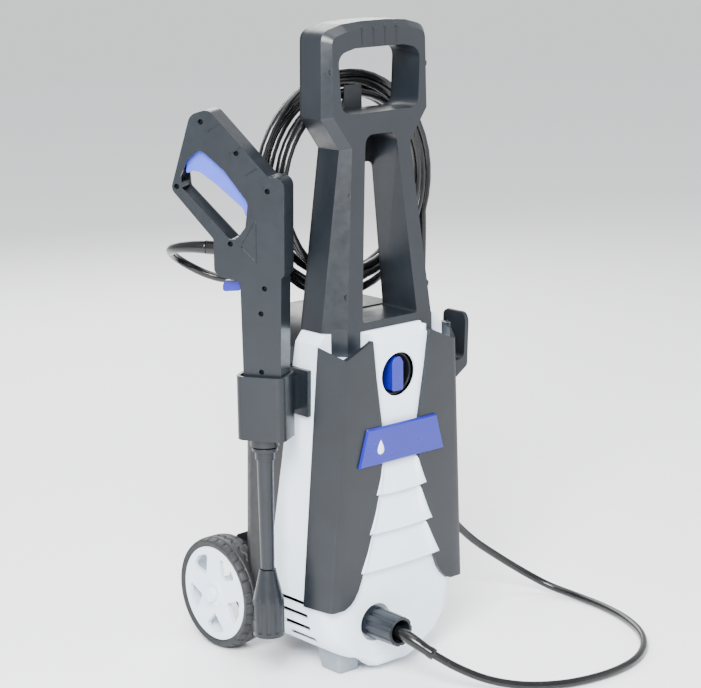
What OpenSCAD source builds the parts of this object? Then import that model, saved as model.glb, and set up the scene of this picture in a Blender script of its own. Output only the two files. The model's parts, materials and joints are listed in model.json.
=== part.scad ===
// Upright electric pressure washer with a spray gun, a lance and a coiled hose.
// Machine frame: +X to the right seen from the front, -Y to the front, +Z up, floor at z = 0.
// Every module is drawn in the machine frame and moved once by machine().

/* [Casing] */
// Width of the casing at its widest
casing_w = 218; // [206:2:264]
// Height of the casing's top above the floor
casing_top = 437; // [400:1:524]
// Height of the casing's underside above the floor
casing_bottom = 28; // [24:1:34]
// Depth of the casing behind the tower's middle line
casing_back = 50; // [46:1:60]
// Wall of the moulded shells
wall = 3; // [2.4:0.2:3.6]
// How far the dark corner panels stand proud of the casing's front
panel_proud = 5.5; // [4.5:0.5:7]
// Gap left between neighbouring mouldings
gap = 0.2; // [0.1:0.05:0.3]

/* [Tower and handle] */
// Height from the casing's top to the top of the handle
tower_h = 363; // [300:1:436]
// Depth of the tower from front to back plate
tower_d = 60; // [50:1:72]
// Half width of a leg's outside at the foot of the tower
leg_out = 88; // [80:1:90]
// Half width of the handle block
handle_out = 83; // [76:1:90]
// Height of the hand opening
hand_h = 76; // [57:1:82]

/* [Wheels] */
// Radius of the tyres
wheel_r = 72; // [60:1:86]
// Width of a wheel
wheel_w = 40; // [34:1:48]
// Radius of the rims
rim_r = 61; // [50:1:64]
// Radius of the axle
axle_r = 5; // [4:0.5:6]
// Running clearance between an axle or pin and its bore, on the radius
run = 0.05; // [0.02:0.01:0.1]
// Gap between a wheel's inner face and the casing
wheel_gap = 3; // [2:0.5:5]

/* [Switch and outlet] */
// Radius of the round switch recess
recess_r = 27; // [24:0.5:29]
// Height of the switch above the floor
switch_z = 380; // [370:1:385]
// Radius of the outlet thread
outlet_r = 11; // [9:0.5:13]
// Height of the outlet above the floor
outlet_z = 70; // [66:1:76]
// Sideways place of the outlet
outlet_x = -33; // [-40:1:-26]
// Radius of the water inlet's spigot
inlet_r = 13; // [11:0.5:15]

/* [Spray gun and lance] */
// Half thickness of the gun's two shells
gun_t = 16; // [14:0.5:18]
// Wall of the gun's shells
gun_wall = 2.5; // [2:0.1:3]
// Half thickness of the trigger
trigger_t = 7; // [6:0.5:8]
// Travel of the trigger in degrees
trigger_travel = 8; // [6:1:8]
// Radius of the lance tube at its top
lance_r = 10; // [8:0.5:11]
// Radius of the nozzle body
nozzle_r = 19; // [16:0.5:19.5]
// Inside radius of the ring that the lance drops through
holder_r = 20; // [19.8:0.1:24]
// Wall of the gun's holder
holder_wall = 3.5; // [3:0.5:5]

/* [Hose] */
// Diameter of the high-pressure hose
hose_d = 10; // [8:0.5:12]
// Radius of the coil's outside
coil_r = 144; // [130:1:150]
// Width of the coil's band of turns
coil_band = 39; // [34:1:46]
// Depth of the coil from front to back
coil_depth = 40; // [34:1:44]

/* [Hidden] */
$fn = 48;

// From the tower's middle line to the middle of the whole object's footprint
home = [36, 0, 0];

// Colours
light_grey = "#E6EEF4";
slate = "#46505A";
black = "#1E2226";
blue = "#4246A8";
brass = "#B8974F";
steel = "#B4B8BC";

// ---------- helpers ----------
function lerp(a, b, t) = a + (b - a) * t;
function unit(v) = v / norm(v);
function flat(v) = [v[0], v[1]];
function at_z(pts, z) = [for (p = pts) [p[0], p[1], z]];
function flip(pts) = [for (i = [len(pts) - 1:-1:0]) [-pts[i][0], pts[i][1], pts[i][2]]];
function both_sides(pts) = concat(pts, flip(pts));

// A corner [x, y, radius] becomes an arc of n steps between the two edges that meet there
function corner_arc(p, a, b, r, n) =
    let (
        u = unit(a - p),
        v = unit(b - p),
        half = acos(u * v) / 2,
        c = p + unit(u + v) * r / sin(half),
        s = p + u * r / tan(half) - c,
        e = p + v * r / tan(half) - c,
        start = atan2(s[1], s[0]),
        turn = atan2(e[1], e[0]) - start,
        sweep = turn > 180 ? turn - 360 : turn < -180 ? turn + 360 : turn
    )
    [for (k = [0:n]) c + r * [cos(start + sweep * k / n), sin(start + sweep * k / n)]];

function rounded(pts, n = 5) =
    let (m = len(pts))
    [for (i = [0:m - 1])
        let (p = flat(pts[i]), a = flat(pts[(i + m - 1) % m]), b = flat(pts[(i + 1) % m]))
        each pts[i][2] > 0 ? corner_arc(p, a, b, pts[i][2], n) : [p]];

// Moves every edge of an anticlockwise outline inwards by d (outwards if negative)
function inset(pts, d) =
    let (m = len(pts))
    [for (i = [0:m - 1])
        let (
            p = flat(pts[i]),
            u = unit(p - flat(pts[(i + m - 1) % m])),
            v = unit(flat(pts[(i + 1) % m]) - p),
            q = p + d * [-u[1] - v[1], u[0] + v[0]] / (1 + u * v),
            bulge = u[0] * v[1] - u[1] * v[0] > 0 ? -d : d,
            r = pts[i][2]
        )
        [q[0], q[1], r > 0 ? max(0.3, r + bulge) : 0]];

// Closed solid through rings of the same number of points, anticlockwise seen from the last one
module skin(rings) {
    n = len(rings[0]);
    m = len(rings);
    polyhedron(
        points = [for (r = rings) each r],
        faces = concat(
            [[for (i = [0:n - 1]) i]],
            [for (k = [0:m - 2], i = [0:n - 1])
                let (a = k * n + i, b = k * n + (i + 1) % n)
                each [[a, a + n, b + n], [a, b + n, b]]],
            [[for (i = [n - 1:-1:0]) (m - 1) * n + i]]
        ),
        convexity = 8
    );
}

// Tube swept along a route of points
function side_of(t) = unit(cross(t, abs(t[2]) > 0.8 ? [1, 0, 0] : [0, 0, 1]));
function heading(route, i) =
    unit(route[min(i + 1, len(route) - 1)] - route[max(i - 1, 0)]);
function carried(s, t) = unit(s - (s * t) * t);
function sides(route, i = 0, s = undef) =
    let (t = heading(route, i), now = is_undef(s) ? side_of(t) : carried(s, t))
    i == len(route) - 1 ? [now] : concat([now], sides(route, i + 1, now));
module tube(route, r, n = 8) {
    across = sides(route);
    skin([for (i = [0:len(route) - 1])
        let (t = heading(route, i), s = across[i], w = cross(t, s))
        [for (k = [0:n - 1]) route[i] + r * (cos(360 * k / n) * s + sin(360 * k / n) * w)]]);
}

// Points of a smooth curve through the chosen points, n steps between each two
function curve_point(a, b, c, d, t) =
    0.5 * (2 * b + (c - a) * t + (2 * a - 5 * b + 4 * c - d) * t * t
        + (3 * b - a - 3 * c + d) * t * t * t);
function curve(pts, n = 3) =
    let (last = len(pts) - 1)
    concat(
        [for (i = [0:last - 1], k = [0:n - 1])
            curve_point(pts[max(i - 1, 0)], pts[i], pts[i + 1], pts[min(i + 2, last)], k / n)],
        [pts[last]]
    );

module machine() { translate(home) children(); }
// Prisms of an outline seen from the front, from the side and along Y
module front_prism(pts, y0, y1) {
    translate([0, y1, 0]) rotate([90, 0, 0]) linear_extrude(y1 - y0)
        polygon([for (q = pts) flat(q)]);
}
module side_prism(pts, x0, x1) {
    translate([x0, 0, 0]) rotate([90, 0, 90]) linear_extrude(x1 - x0) polygon(pts);
}
module along_y(p, r, length, r2 = -1) {
    translate(p) rotate([-90, 0, 0]) cylinder(r1 = r, r2 = r2 < 0 ? r : r2, h = length);
}
module along_x(p, r, length) {
    translate(p) rotate([0, 90, 0]) cylinder(r = r, h = length);
}
module box(lo, hi) { translate(lo) cube(hi - lo); }
module mirrored() { children(); mirror([1, 0, 0]) children(); }

// ---------- casing ----------
half_top = casing_w / 2 - 9.5;
shoulder = casing_top - 12;
front_foot = -117.5;
front_lean = 0.03;
corner_r = 25;
function half_w(z) = lookup(z, [
    [casing_bottom, casing_w / 2 - 41], [casing_bottom + 8, casing_w / 2 - 27],
    [60, casing_w / 2 - 9], [100, casing_w / 2], [shoulder, half_top], [casing_top, half_top - 8]
]);
function front_y(z) = lookup(z, [
    [0, front_foot], [shoulder, front_foot - front_lean * shoulder],
    [casing_top, front_foot - front_lean * shoulder + 12]
]);
// The seam between the front and rear shells leans back towards the floor
function seam_y(z) = -57 + (431 - z) * 0.165;
front_levels = [casing_bottom, casing_bottom + 8, 60, 100, shoulder, casing_top];

// Path round the front of the casing at height z, moved inwards by d, its ends beyond the seam
function front_path(z, d, beyond = 0) =
    let (w = half_w(z), f = front_y(z), r = corner_r - d, s = [w - corner_r, f + corner_r])
    concat(
        [[-w + d, seam_y(z) + beyond]],
        [for (k = [0:3]) [-s[0], s[1]] + r * [-cos(30 * k), -sin(30 * k)]],
        [for (k = [3:-1:0]) s + r * [cos(30 * k), -sin(30 * k)]],
        [[w - d, seam_y(z) + beyond]]
    );
// Levels of a casing shell's inside, which stops a wall short of its bottom and top
function inner_levels(levels) =
    [for (z = levels) max(levels[0] + wall, min(z, levels[len(levels) - 1] - wall))];

// Pocket in each front corner of the casing's top, where a tower leg stands
pocket_z = casing_top - 28;
pocket_in = 46;
pocket_back = -99;
module pocket_walls() {
    path = front_path(pocket_z - wall, 1.5);
    translate([0, 0, pocket_z - wall]) linear_extrude(wall) polygon(concat(
        [[pocket_in - wall, pocket_back + wall], [pocket_in - wall, path[5][1]]],
        [for (k = [5:8]) path[k]],
        [[path[8][0], pocket_back + wall]]
    ));
    front_prism([
        [pocket_in - wall, pocket_z - wall], [half_top - 1.5, pocket_z - wall],
        [half_top - 1.5, shoulder - 2], [half_top - 7, casing_top - 2],
        [pocket_in - wall, casing_top - 2]
    ], pocket_back, pocket_back + wall);
    box([pocket_in - wall, front_y(pocket_z) + 1.5, pocket_z - wall],
        [pocket_in, pocket_back + 1, casing_top - 2]);
}
module leg_pockets() {
    mirrored() box([pocket_in, -160, pocket_z], [200, pocket_back, casing_top + 30]);
}

// Overlapping slats of the front, narrow at the top; each lip stands proud
slat_lips = [236, 188, 141];
slat_half = [43, 53.5, 63.5];
slat_proud = 3;
module slats() {
    for (i = [0:2]) {
        top = i == 0 ? 272 : slat_lips[i - 1] - 3;
        lip = slat_lips[i];
        w1 = min(slat_half[i], panel_in(lip) - 1);
        w0 = min(w1 - 10, panel_in(top) - 1);
        skin([
            [[-w1, front_y(lip) + 1, lip], [-w1, front_y(lip) - slat_proud, lip],
                [w1, front_y(lip) - slat_proud, lip], [w1, front_y(lip) + 1, lip]],
            [[-w0, front_y(top) + 1, top], [-w0, front_y(top) - 0.3, top],
                [w0, front_y(top) - 0.3, top], [w0, front_y(top) + 1, top]]
        ]);
    }
}

// Lip under the outlet that reaches nearly to the floor
lip_bottom = 9;
module front_lip() {
    skin([for (s = [[lip_bottom, 31, -113], [lip_bottom + 6, 37, -117.3],
            [casing_bottom + 1.5, 60, -117.3]])
        at_z([[-s[1] - 2, -93], [-s[1] - 2, s[2] + 8], [-s[1] + 6, s[2]], [s[1] - 6, s[2]],
            [s[1] + 2, s[2] + 8], [s[1] + 2, -93]], s[0])]);
}

vent_count = 4;
vent_pitch = 17;
vent_h = 6;
module side_vents() {
    mirrored() for (k = [0:vent_count - 1])
        box([casing_w / 2 - 25, -76, 46 + vent_pitch * k],
            [casing_w / 2 + 5, -27, 46 + vent_pitch * k + vent_h]);
}

outlet_dish_r = 24;
outlet_floor = front_foot + 10;
module front_shell() {
    color(light_grey) machine() difference() {
        union() {
            difference() {
                skin([for (z = front_levels) at_z(front_path(z, 0), z)]);
                skin([for (z = inner_levels(front_levels)) at_z(front_path(z, wall, 5), z)]);
            }
            box([-76, -62, casing_top - wall], [76, hump_front - gap, casing_top]);
            mirrored() pocket_walls();
            slats();
            front_lip();
            along_y([outlet_x, front_foot - 1, outlet_z], outlet_dish_r + wall,
                outlet_floor + wall - front_foot + 1);
        }
        leg_pockets();
        along_y([0, -150, switch_z], recess_r, 60);
        along_y([outlet_x, -130, outlet_z], outlet_dish_r, 130 + outlet_floor);
        along_y([outlet_x, -130, outlet_z], outlet_r + 3, 60);
        side_vents();
        box([-80, hump_front - 4.2, casing_top - 0.6], [80, hump_front + 5, casing_top + 1]);
    }
}

// Wheels and the box that carries their axle
axle_y = 94;
axle_z = wheel_r;
wheel_in = 81;
wheel_out = wheel_in + wheel_w;
axle_box_half = wheel_in - wheel_gap;
arch_gap = 6;
rear_r = 20;
hump_top = casing_top + 11;
hump_front = -48;
rear_levels = [
    casing_bottom, casing_bottom + 8, 60, 100, shoulder - 8, shoulder + 5, casing_top - 1,
    casing_top, hump_top - 4, hump_top
];
function rear_w(z) = z <= shoulder - 8 ? half_w(z) : lookup(z, [
    [shoulder - 8, half_w(shoulder - 8)], [shoulder + 5, 91], [casing_top, 84],
    [hump_top - 4, 74], [hump_top, 65]
]);
function rear_y(z) = casing_back - lookup(z, [
    [shoulder - 8, 0], [casing_top, 5], [hump_top - 4, 8], [hump_top, 15]
]);
function rear_path(z, d, beyond = 0) =
    let (
        w = rear_w(z),
        b = rear_y(z),
        r = rear_r - d,
        s = [w - rear_r, b - rear_r],
        start = z < casing_top ? seam_y(z) + gap - beyond : hump_front + d
    )
    concat(
        [[w - d, start]],
        [for (k = [0:3]) s + r * [cos(30 * k), sin(30 * k)]],
        [for (k = [3:-1:0]) [-s[0], s[1]] + r * [-cos(30 * k), sin(30 * k)]],
        [[-w + d, start]]
    );
function axle_box_outline(d) = rounded([
    [casing_back - 1.5 - d, 34 + d, 0], [90, 34 + d, 16 - d],
    [axle_y + 19 - d, axle_z - 12, 14 - d], [axle_y + 19 - d, axle_z + 18, 12 - d],
    [axle_y + 3 - d, 2 * wheel_r - 3, 8 - d], [casing_back - 1.5 - d, 2 * wheel_r + 18 - d, 0]
]);
inlet_x = 34;
inlet_z = 190;
gland_x = -40;
gland_z = 196;
gland_r = 9;
shell_screws = [[-72, 230], [72, 230], [-66, 395], [66, 395]];
screw_r = 2;
module wheel_arches(r) {
    mirrored() along_x([axle_box_half, axle_y, axle_z], r, 100);
}
module rear_shell() {
    color(black) machine() difference() {
        union() {
            difference() {
                union() {
                    difference() {
                        skin([for (z = rear_levels) at_z(rear_path(z, 0), z)]);
                        skin([for (z = inner_levels(rear_levels)) at_z(rear_path(z, wall, 5), z)]);
                    }
                    side_prism(axle_box_outline(0), -axle_box_half, axle_box_half);
                }
                side_prism(axle_box_outline(wall), -axle_box_half + wall, axle_box_half - wall);
                wheel_arches(wheel_r + arch_gap);
            }
            arch_liners();
            for (s = [-1, 1])
                along_x([s > 0 ? axle_box_half - 16 : -axle_box_half + 1, axle_y, axle_z],
                    axle_r + 5, 15);
            for (p = shell_screws)
                along_y([p[0], casing_back - 16, p[1]], screw_r + 3, 14);
        }
        along_x([-150, axle_y, axle_z], axle_r + run, 300);
        along_y([inlet_x, 0, inlet_z], inlet_r + gap, 100);
        along_y([gland_x, 0, gland_z], gland_r - 3 + gap, 100);
        for (p = shell_screws)
            along_y([p[0], 0, p[1]], screw_r + gap, 100);
    }
}
// Walls between the wheel arches and the inside of the casing
module arch_liners() {
    intersection() {
        skin([for (z = [casing_bottom + 1, casing_bottom + 8, 60, 100, 200])
            at_z(rear_path(z, 1), z)]);
        difference() {
            mirrored() along_x([axle_box_half - wall + 0.5, axle_y, axle_z], wheel_r + arch_gap + wall, 60);
            wheel_arches(wheel_r + arch_gap);
        }
    }
}

module feet() {
    color("#8D959C") machine() mirrored() translate([50, -70, 0])
        skin([for (s = [[0, 14, 17], [3, 16, 19], [casing_bottom, 19, 22]])
            at_z(rounded([[-s[1], -s[2], 5], [s[1], -s[2], 5], [s[1], s[2], 5], [-s[1], s[2], 5]], 3),
                s[0])]);
}

// ---------- corner panels ----------
panel_low = 100;
panel_high = casing_top - 8;
panel_levels = [panel_low, 104, 110, 120, 134, 160, 200, 245, 300, 345, 385, shoulder, panel_high];
function panel_in(z) = lookup(z, [
    [panel_low, 88], [104, 79], [110, 72.5], [120, 66], [134, 60.5], [160, 53], [200, 42],
    [245, 33], [300, 27], [345, 34], [385, 40.5], [panel_high, 46]
]);
function panel_ring(z) =
    let (
        level = min(z, shoulder),
        w = half_w(level),
        y = front_y(level),
        f = y - panel_proud,
        t = (level - panel_low) / 325,
        c = w - lerp(2, 11, t),
        e = lerp(-78, -102, t),
        r = corner_r + gap
    )
    concat(
        [[panel_in(z), y - gap], [panel_in(z), f], [c - 5, f], [c, f + 1.5], [c + 2.5, f + 6],
            [w + 6, e - 2], [w + 4.5, e], [w + gap, e]],
        [for (k = [0:3]) [w - corner_r + r * cos(30 * k), y + corner_r - r * sin(30 * k)]]
    );
module corner_panel() {
    difference() {
        skin([for (z = panel_levels) at_z(panel_ring(z), z)]);
        front_prism([[50, panel_high + 9], [50, panel_high - 1], [half_top - 12, pocket_z + 2],
            [half_top + 8, panel_high - 1], [half_top + 8, panel_high + 9]], -160, -60);
    }
}
module left_panel() {
    color(slate) machine() mirror([1, 0, 0]) corner_panel();
}

// The right panel carries a hook for the mains lead
hook_y0 = -100;
hook_y1 = -58;
hook_x = casing_w / 2 + 31;
hook_outline = [
    [104.5, 341, 0], [casing_w / 2 + 6, 344, 4], [hook_x + 3, 362, 6],
    [hook_x + 6, casing_top - 7, 3], [hook_x, casing_top - 7, 3], [hook_x - 3, 372, 8],
    [casing_w / 2 + 3, 370, 6], [104.5, 382, 0]
];
hook_side = [
    [hook_y0, 330, 0], [hook_y1, 330, 0], [hook_y1, casing_top - 6, 14], [hook_y0, casing_top - 6, 14]
];
module right_panel() {
    color(slate) machine() {
        corner_panel();
        skin([for (z = [338, shoulder - 1])
            at_z([[half_w(z) + gap + 0.3, -108], [half_w(z) + 7, -108], [half_w(z) + 7, hook_y1 - 1],
                [half_w(z) + gap + 0.3, hook_y1 - 1]], z)]);
        intersection() {
            front_prism(rounded(hook_outline), hook_y0, hook_y1 - 2);
            side_prism(rounded(hook_side), 0, 200);
        }
    }
}

// Name plate across both panels, left plain
plate_low = 275;
plate_high = 322;
plate_t = 4;
module name_plate() {
    color(blue) machine()
        skin([for (q = [[plate_low, 69.5, 1], [plate_low + 2, 69, plate_t],
                [plate_high - 2, 56.5, plate_t], [plate_high, 56, 1]])
            let (f = front_y(q[0]) - panel_proud)
            at_z([[-q[1], f - gap], [-q[1] + 1.5, f - gap - q[2]], [q[1] - 1.5, f - gap - q[2]],
                [q[1], f - gap]], q[0])]);
}

// ---------- switch ----------
switch_floor = -104;
knob_r = 19;
switch_shaft_r = 4;
module switch_housing() {
    color(black) machine() difference() {
        along_y([0, -122, switch_z], recess_r - gap, 122 + switch_floor + 4);
        along_y([0, -130, switch_z], recess_r - wall, 130 + switch_floor);
        along_y([0, -130, switch_z], switch_shaft_r + run, 60);
    }
}
module switch_knob() {
    color(blue) machine() {
        along_y([0, switch_floor - 4, switch_z], knob_r, 3.6);
        translate([0, switch_floor - 3.5, switch_z]) rotate([90, 0, 0])
            linear_extrude(20) polygon(rounded([
                [-9, -21, 3], [9, -21, 3], [9, 14, 3], [4, 21, 3], [-4, 21, 3], [-9, 14, 3]
            ]));
        along_y([0, switch_floor - 0.5, switch_z], switch_shaft_r, 10);
    }
}
module switch_body() {
    color("#30343A") machine() difference() {
        box([-20, switch_floor + 4.3, switch_z - 22], [20, switch_floor + 36, switch_z + 22]);
        along_y([0, -130, switch_z], switch_shaft_r + run, 130 + switch_floor + 12);
    }
}

// ---------- tower ----------
tower_front_y = -115;
tower_y1 = tower_front_y + tower_d;
tower_foot = casing_top + gap;
tower_top = casing_top + tower_h;
leg_top = casing_top + 215;
leg_slope = 32 / 215;
handle_low = casing_top + 253;
bevel_y = tower_front_y + 25;
bevel_slope = 0.8;
hand_low = casing_top + 257;
hand_high = hand_low + hand_h;
waist = 40;
head_slope = (handle_out - leg_out + 32) / (handle_low - leg_top);
// Outline [across, up, corner radius] of the tower seen from the front, in two parts that cross
// at leg_top so that each is convex: the legs, cut off at height z, and the head
function leg_outline(z) = both_sides([
    [leg_out + (casing_top - z) * leg_slope, z, 0],
    [leg_out - 32 - waist * leg_slope, leg_top + waist, 0]
]);
head_outline = both_sides([
    [leg_out - 32 - waist * head_slope, leg_top - waist, 0], [handle_out, handle_low, 3],
    [handle_out - 2, tower_top - 10, 14], [handle_out - 33, tower_top - 2, 30], [20, tower_top, 0]
]);
leg_window = both_sides([[44, casing_top + 10, 3], [24, casing_top + 231, 12]]);
back_window = both_sides([[44, casing_top + 10, 3], [28, casing_top + 191, 10]]);
hand_window = both_sides([
    [handle_out - 23, hand_low, 14], [handle_out - 19, hand_high - 6, 14],
    [handle_out - 45, hand_high, 20]
]);
function tower_face(z) = lookup(z, [
    [casing_top, tower_front_y], [leg_top, tower_front_y + 13], [tower_top, tower_front_y + 15]
]);
function xz_ring(pts, y) = [for (q = pts) [q[0], y, q[1]]];
// The tower's solid shape, its front corners bevelled, moved inwards by d
module bevelled(rings, back) {
    skin([
        xz_ring(rings[0], back), xz_ring(rings[0], bevel_y), xz_ring(rings[1], bevel_y - 28)
    ]);
}
module tower_solid(d, back) {
    deep = d + 28 * bevel_slope;
    foot = tower_foot + d;
    intersection() {
        union() {
            bevelled([for (e = [d, deep]) inset(leg_outline(foot - e), e)], back);
            bevelled([for (e = [d, deep]) rounded(inset(head_outline, e), 3)], back);
        }
        side_prism([
            [tower_face(casing_top) + d, casing_top - 20], [back + 5, casing_top - 20],
            [back + 5, tower_top + 10], [tower_face(tower_top) + d, tower_top + 10],
            [tower_face(leg_top) + d, leg_top], [tower_face(casing_top) + d, casing_top]
        ], -120, 120);
    }
}
// Foot of a leg that stands in the casing's pocket
tongue_in = pocket_in + 2;
tongue_z = pocket_z + 2;
module tongue(d) {
    y0 = tower_front_y + 0.2;
    y1 = pocket_back - gap - d;
    translate([0, 0, tongue_z + d]) linear_extrude(casing_top + 6 - tongue_z) polygon([
        [tongue_in + d, y0 + d], [68 - d, y0 + d], [68 - d + (y1 - y0 - d) * bevel_slope, y1],
        [tongue_in + d, y1]
    ]);
}
tower_bosses = both_sides([[62, 480], [48.5, 600], [71.5, 745]]);
module tower_front() {
    color(slate) machine() difference() {
        union() {
            difference() {
                tower_solid(0, tower_y1);
                difference() {
                    tower_solid(wall, tower_y1 + 2);
                    front_prism(rounded(inset(leg_window, -wall)), -140, 0);
                    front_prism(rounded(inset(hand_window, -wall)), -140, 0);
                }
            }
            mirrored() tongue(0);
            for (p = tower_bosses)
                along_y([p[0], tower_face(p[1]) + 1.5, p[1]], screw_r + 3,
                    tower_y1 - tower_face(p[1]) - 1.7);
        }
        mirrored() tongue(wall);
        front_prism(rounded(leg_window), -140, 0);
        front_prism(rounded(hand_window), -140, 0);
        for (p = tower_bosses)
            along_y([p[0], tower_y1 - 20, p[1]], screw_r, 30);
    }
}
module tower_back() {
    color(black) machine() difference() {
        union() {
            front_prism(leg_outline(tower_foot), tower_y1 + gap, tower_y1 + wall);
            front_prism(rounded(head_outline), tower_y1 + gap, tower_y1 + wall);
        }
        front_prism(rounded(back_window), -100, 0);
        front_prism(rounded(hand_window), -100, 0);
        for (p = tower_bosses)
            along_y([p[0], tower_y1 - 20, p[1]], screw_r + gap, 30);
    }
}
module screw(p, length) {
    along_y(p + [0, gap, 0], 2 * screw_r, 1.6);
    along_y(p - [0, length, 0], screw_r, length + gap + 0.1);
}
module tower_screws() {
    color(steel) machine() for (p = tower_bosses)
        screw([p[0], tower_y1 + wall, p[1]], 14);
}
module casing_screws() {
    color(steel) machine() for (p = shell_screws)
        screw([p[0], casing_back, p[1]], 14);
}

// Hook on the tower's back that the hose coil hangs on
coil_centre = [9.5, tower_y1 + wall + 2 + coil_depth / 2, casing_top + 163];
coil_in = coil_r - coil_band;
arm_top = coil_centre[2] + coil_in - 3.5;
module hose_hook() {
    color(slate) machine() intersection() {
        side_prism(rounded([
            [tower_y1 + wall + gap, arm_top - 15, 0], [coil_centre[1] + coil_depth / 2 + 9, arm_top - 15, 8],
            [coil_centre[1] + coil_depth / 2 + 11, arm_top + 56, 3],
            [coil_centre[1] + coil_depth / 2 + 4, arm_top + 56, 3],
            [coil_centre[1] + coil_depth / 2 + 2, arm_top, 3], [tower_y1 + wall + 6, arm_top, 0],
            [tower_y1 + wall + 1.7, arm_top + 8, 0], [tower_y1 + wall + 1.7, arm_top + 20, 0],
            [tower_y1 + wall + gap, arm_top + 20, 0]
        ]), -14, 14);
        front_prism(rounded([
            [-14, arm_top - 16, 2], [14, arm_top - 16, 2], [14, arm_top + 10, 4],
            [11, arm_top + 57, 9], [-11, arm_top + 57, 9], [-14, arm_top + 10, 4]
        ]), -100, 60);
    }
}

// ---------- wheels ----------
module on_axle() { translate([0, axle_y, axle_z]) children(); }
module axle() {
    color(steel) machine() on_axle() along_x([-wheel_out - 5, 0, 0], axle_r, 2 * wheel_out + 10);
}
module axle_caps() {
    color(light_grey) machine() on_axle() mirrored() difference() {
        along_x([wheel_out + 0.5, 0, 0], 2 * axle_r, 6.5);
        along_x([wheel_out, 0, 0], axle_r, 5);
    }
}
module tyre() {
    tread = [[rim_r, 2], [rim_r + 7, 0], [wheel_r - 1.5, 3], [wheel_r, 6], [wheel_r, 12],
        [wheel_r - 2, 13], [wheel_r - 2, 16], [wheel_r, 17]];
    profile = concat(tread, [for (i = [len(tread) - 1:-1:0]) [tread[i][0], wheel_w - tread[i][1]]]);
    translate([wheel_in, 0, 0]) rotate([0, 90, 0]) rotate_extrude($fn = 96) polygon(profile);
}
spokes = 5;
module rim() {
    along_x([wheel_in, 0, 0], 17, wheel_w);
    difference() {
        along_x([wheel_in + 2, 0, 0], rim_r - gap, wheel_w - 4);
        along_x([wheel_in, 0, 0], rim_r - 6, wheel_w - 8);
        for (k = [0:spokes - 1])
            rotate([72 * k + 36, 0, 0]) translate([wheel_in, 0, 0]) rotate([90, 0, 90])
                linear_extrude(wheel_w + 1) polygon(rounded([
                    [0, 0.43 * rim_r, 3], [0.32 * rim_r, 0.78 * rim_r, 4], [0, 0.87 * rim_r, 0],
                    [-0.32 * rim_r, 0.78 * rim_r, 4]
                ]));
    }
}
module bored_rim() {
    difference() {
        rim();
        along_x([0, 0, 0], axle_r + run, 200);
    }
}
module left_rim() { color(light_grey) machine() on_axle() mirror([1, 0, 0]) bored_rim(); }
module right_rim() { color(light_grey) machine() on_axle() bored_rim(); }
module left_tyre() { color(black) machine() on_axle() mirror([1, 0, 0]) tyre(); }
module right_tyre() { color(black) machine() on_axle() tyre(); }

// ---------- water ways through the casing ----------
head_front = -78;
module outlet_fitting() {
    color(steel) machine() difference() {
        union() {
            along_y([outlet_x, outlet_floor + wall + gap, outlet_z], outlet_r + 5, 4);
            along_y([outlet_x, -134, outlet_z], outlet_r - 2, 134 + outlet_floor + wall + 1);
        }
        along_y([outlet_x, -140, outlet_z], 4, 60);
    }
}
module outlet_pipe() {
    color(steel) machine() difference() {
        along_y([outlet_x, outlet_floor + wall + gap + 4, outlet_z], 8,
            head_front - outlet_floor - wall - gap - 4);
        along_y([outlet_x, -140, outlet_z], 4, 80);
    }
}
module inlet_fitting() {
    color(blue) machine() difference() {
        union() {
            along_y([inlet_x, casing_back - 12, inlet_z], inlet_r, 34);
            along_y([inlet_x, casing_back + gap, inlet_z], inlet_r + 5, 5);
        }
        along_y([inlet_x, casing_back - 13, inlet_z], inlet_r - 4, 40);
    }
}
module inlet_filter() {
    color("#D8DCDF") machine() difference() {
        along_y([inlet_x, casing_back - 6, inlet_z], inlet_r - 4 - gap, 18);
        along_y([inlet_x, casing_back - 4, inlet_z], inlet_r - 6, 20);
    }
}
pump_y = -35;
feed_y = pump_y + 39;
feed_r = 5.5;
module inlet_pipe() {
    color("#3A3F44") machine() difference() {
        union() {
            along_y([inlet_x, feed_y, inlet_z], feed_r, casing_back - 12 - feed_y);
            translate([inlet_x, feed_y, 80]) cylinder(r = feed_r + 0.7, h = inlet_z + feed_r - 78);
        }
        along_y([inlet_x, feed_y, inlet_z], feed_r - 2.4, 90);
        translate([inlet_x, feed_y, 75]) cylinder(r = feed_r - 2, h = inlet_z - 70);
    }
}
module cable_gland() {
    color(black) machine() difference() {
        union() {
            along_y([gland_x, casing_back - 10, gland_z], gland_r - 3, 12);
            along_y([gland_x, casing_back + gap, gland_z], gland_r, 5);
            along_y([gland_x, casing_back + 5, gland_z], gland_r - 2, 20, gland_r - 4);
        }
        along_y([gland_x, casing_back + 12, gland_z], 3.5, 20);
    }
}

// ---------- motor and pump ----------
module upright(r, z0, z1) { translate([0, pump_y, z0]) cylinder(r = r, h = z1 - z0); }
shaft_r = 6;
motor_r = 42;
module motor_stator() {
    color("#6A6F75") machine() difference() {
        union() {
            upright(motor_r, 190, 275);
            for (z = [172, 275]) upright(motor_r - 4, z, z + 18);
            upright(motor_r + 3, 166, 172);
        }
        upright(motor_r - 14, 182, 283);
        upright(14, 160, 300);
    }
}
module motor_bearings() {
    color(steel) machine() difference() {
        for (z = [172, 284]) upright(14, z, z + 9);
        upright(shaft_r + run, 160, 300);
    }
}
module motor_rotor() {
    color("#8A8F94") machine() {
        upright(shaft_r, 156, 345);
        upright(motor_r - 15, 196, 268);
    }
}
module cooling_fan() {
    color("#2A2E33") machine() difference() {
        union() {
            upright(12, 312, 332);
            upright(40, 312, 315);
            for (k = [0:8]) translate([0, pump_y, 314]) rotate([0, 0, 40 * k])
                translate([10, -1, 0]) cube([29, 2, 14]);
        }
        upright(shaft_r, 300, 350);
    }
}
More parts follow.
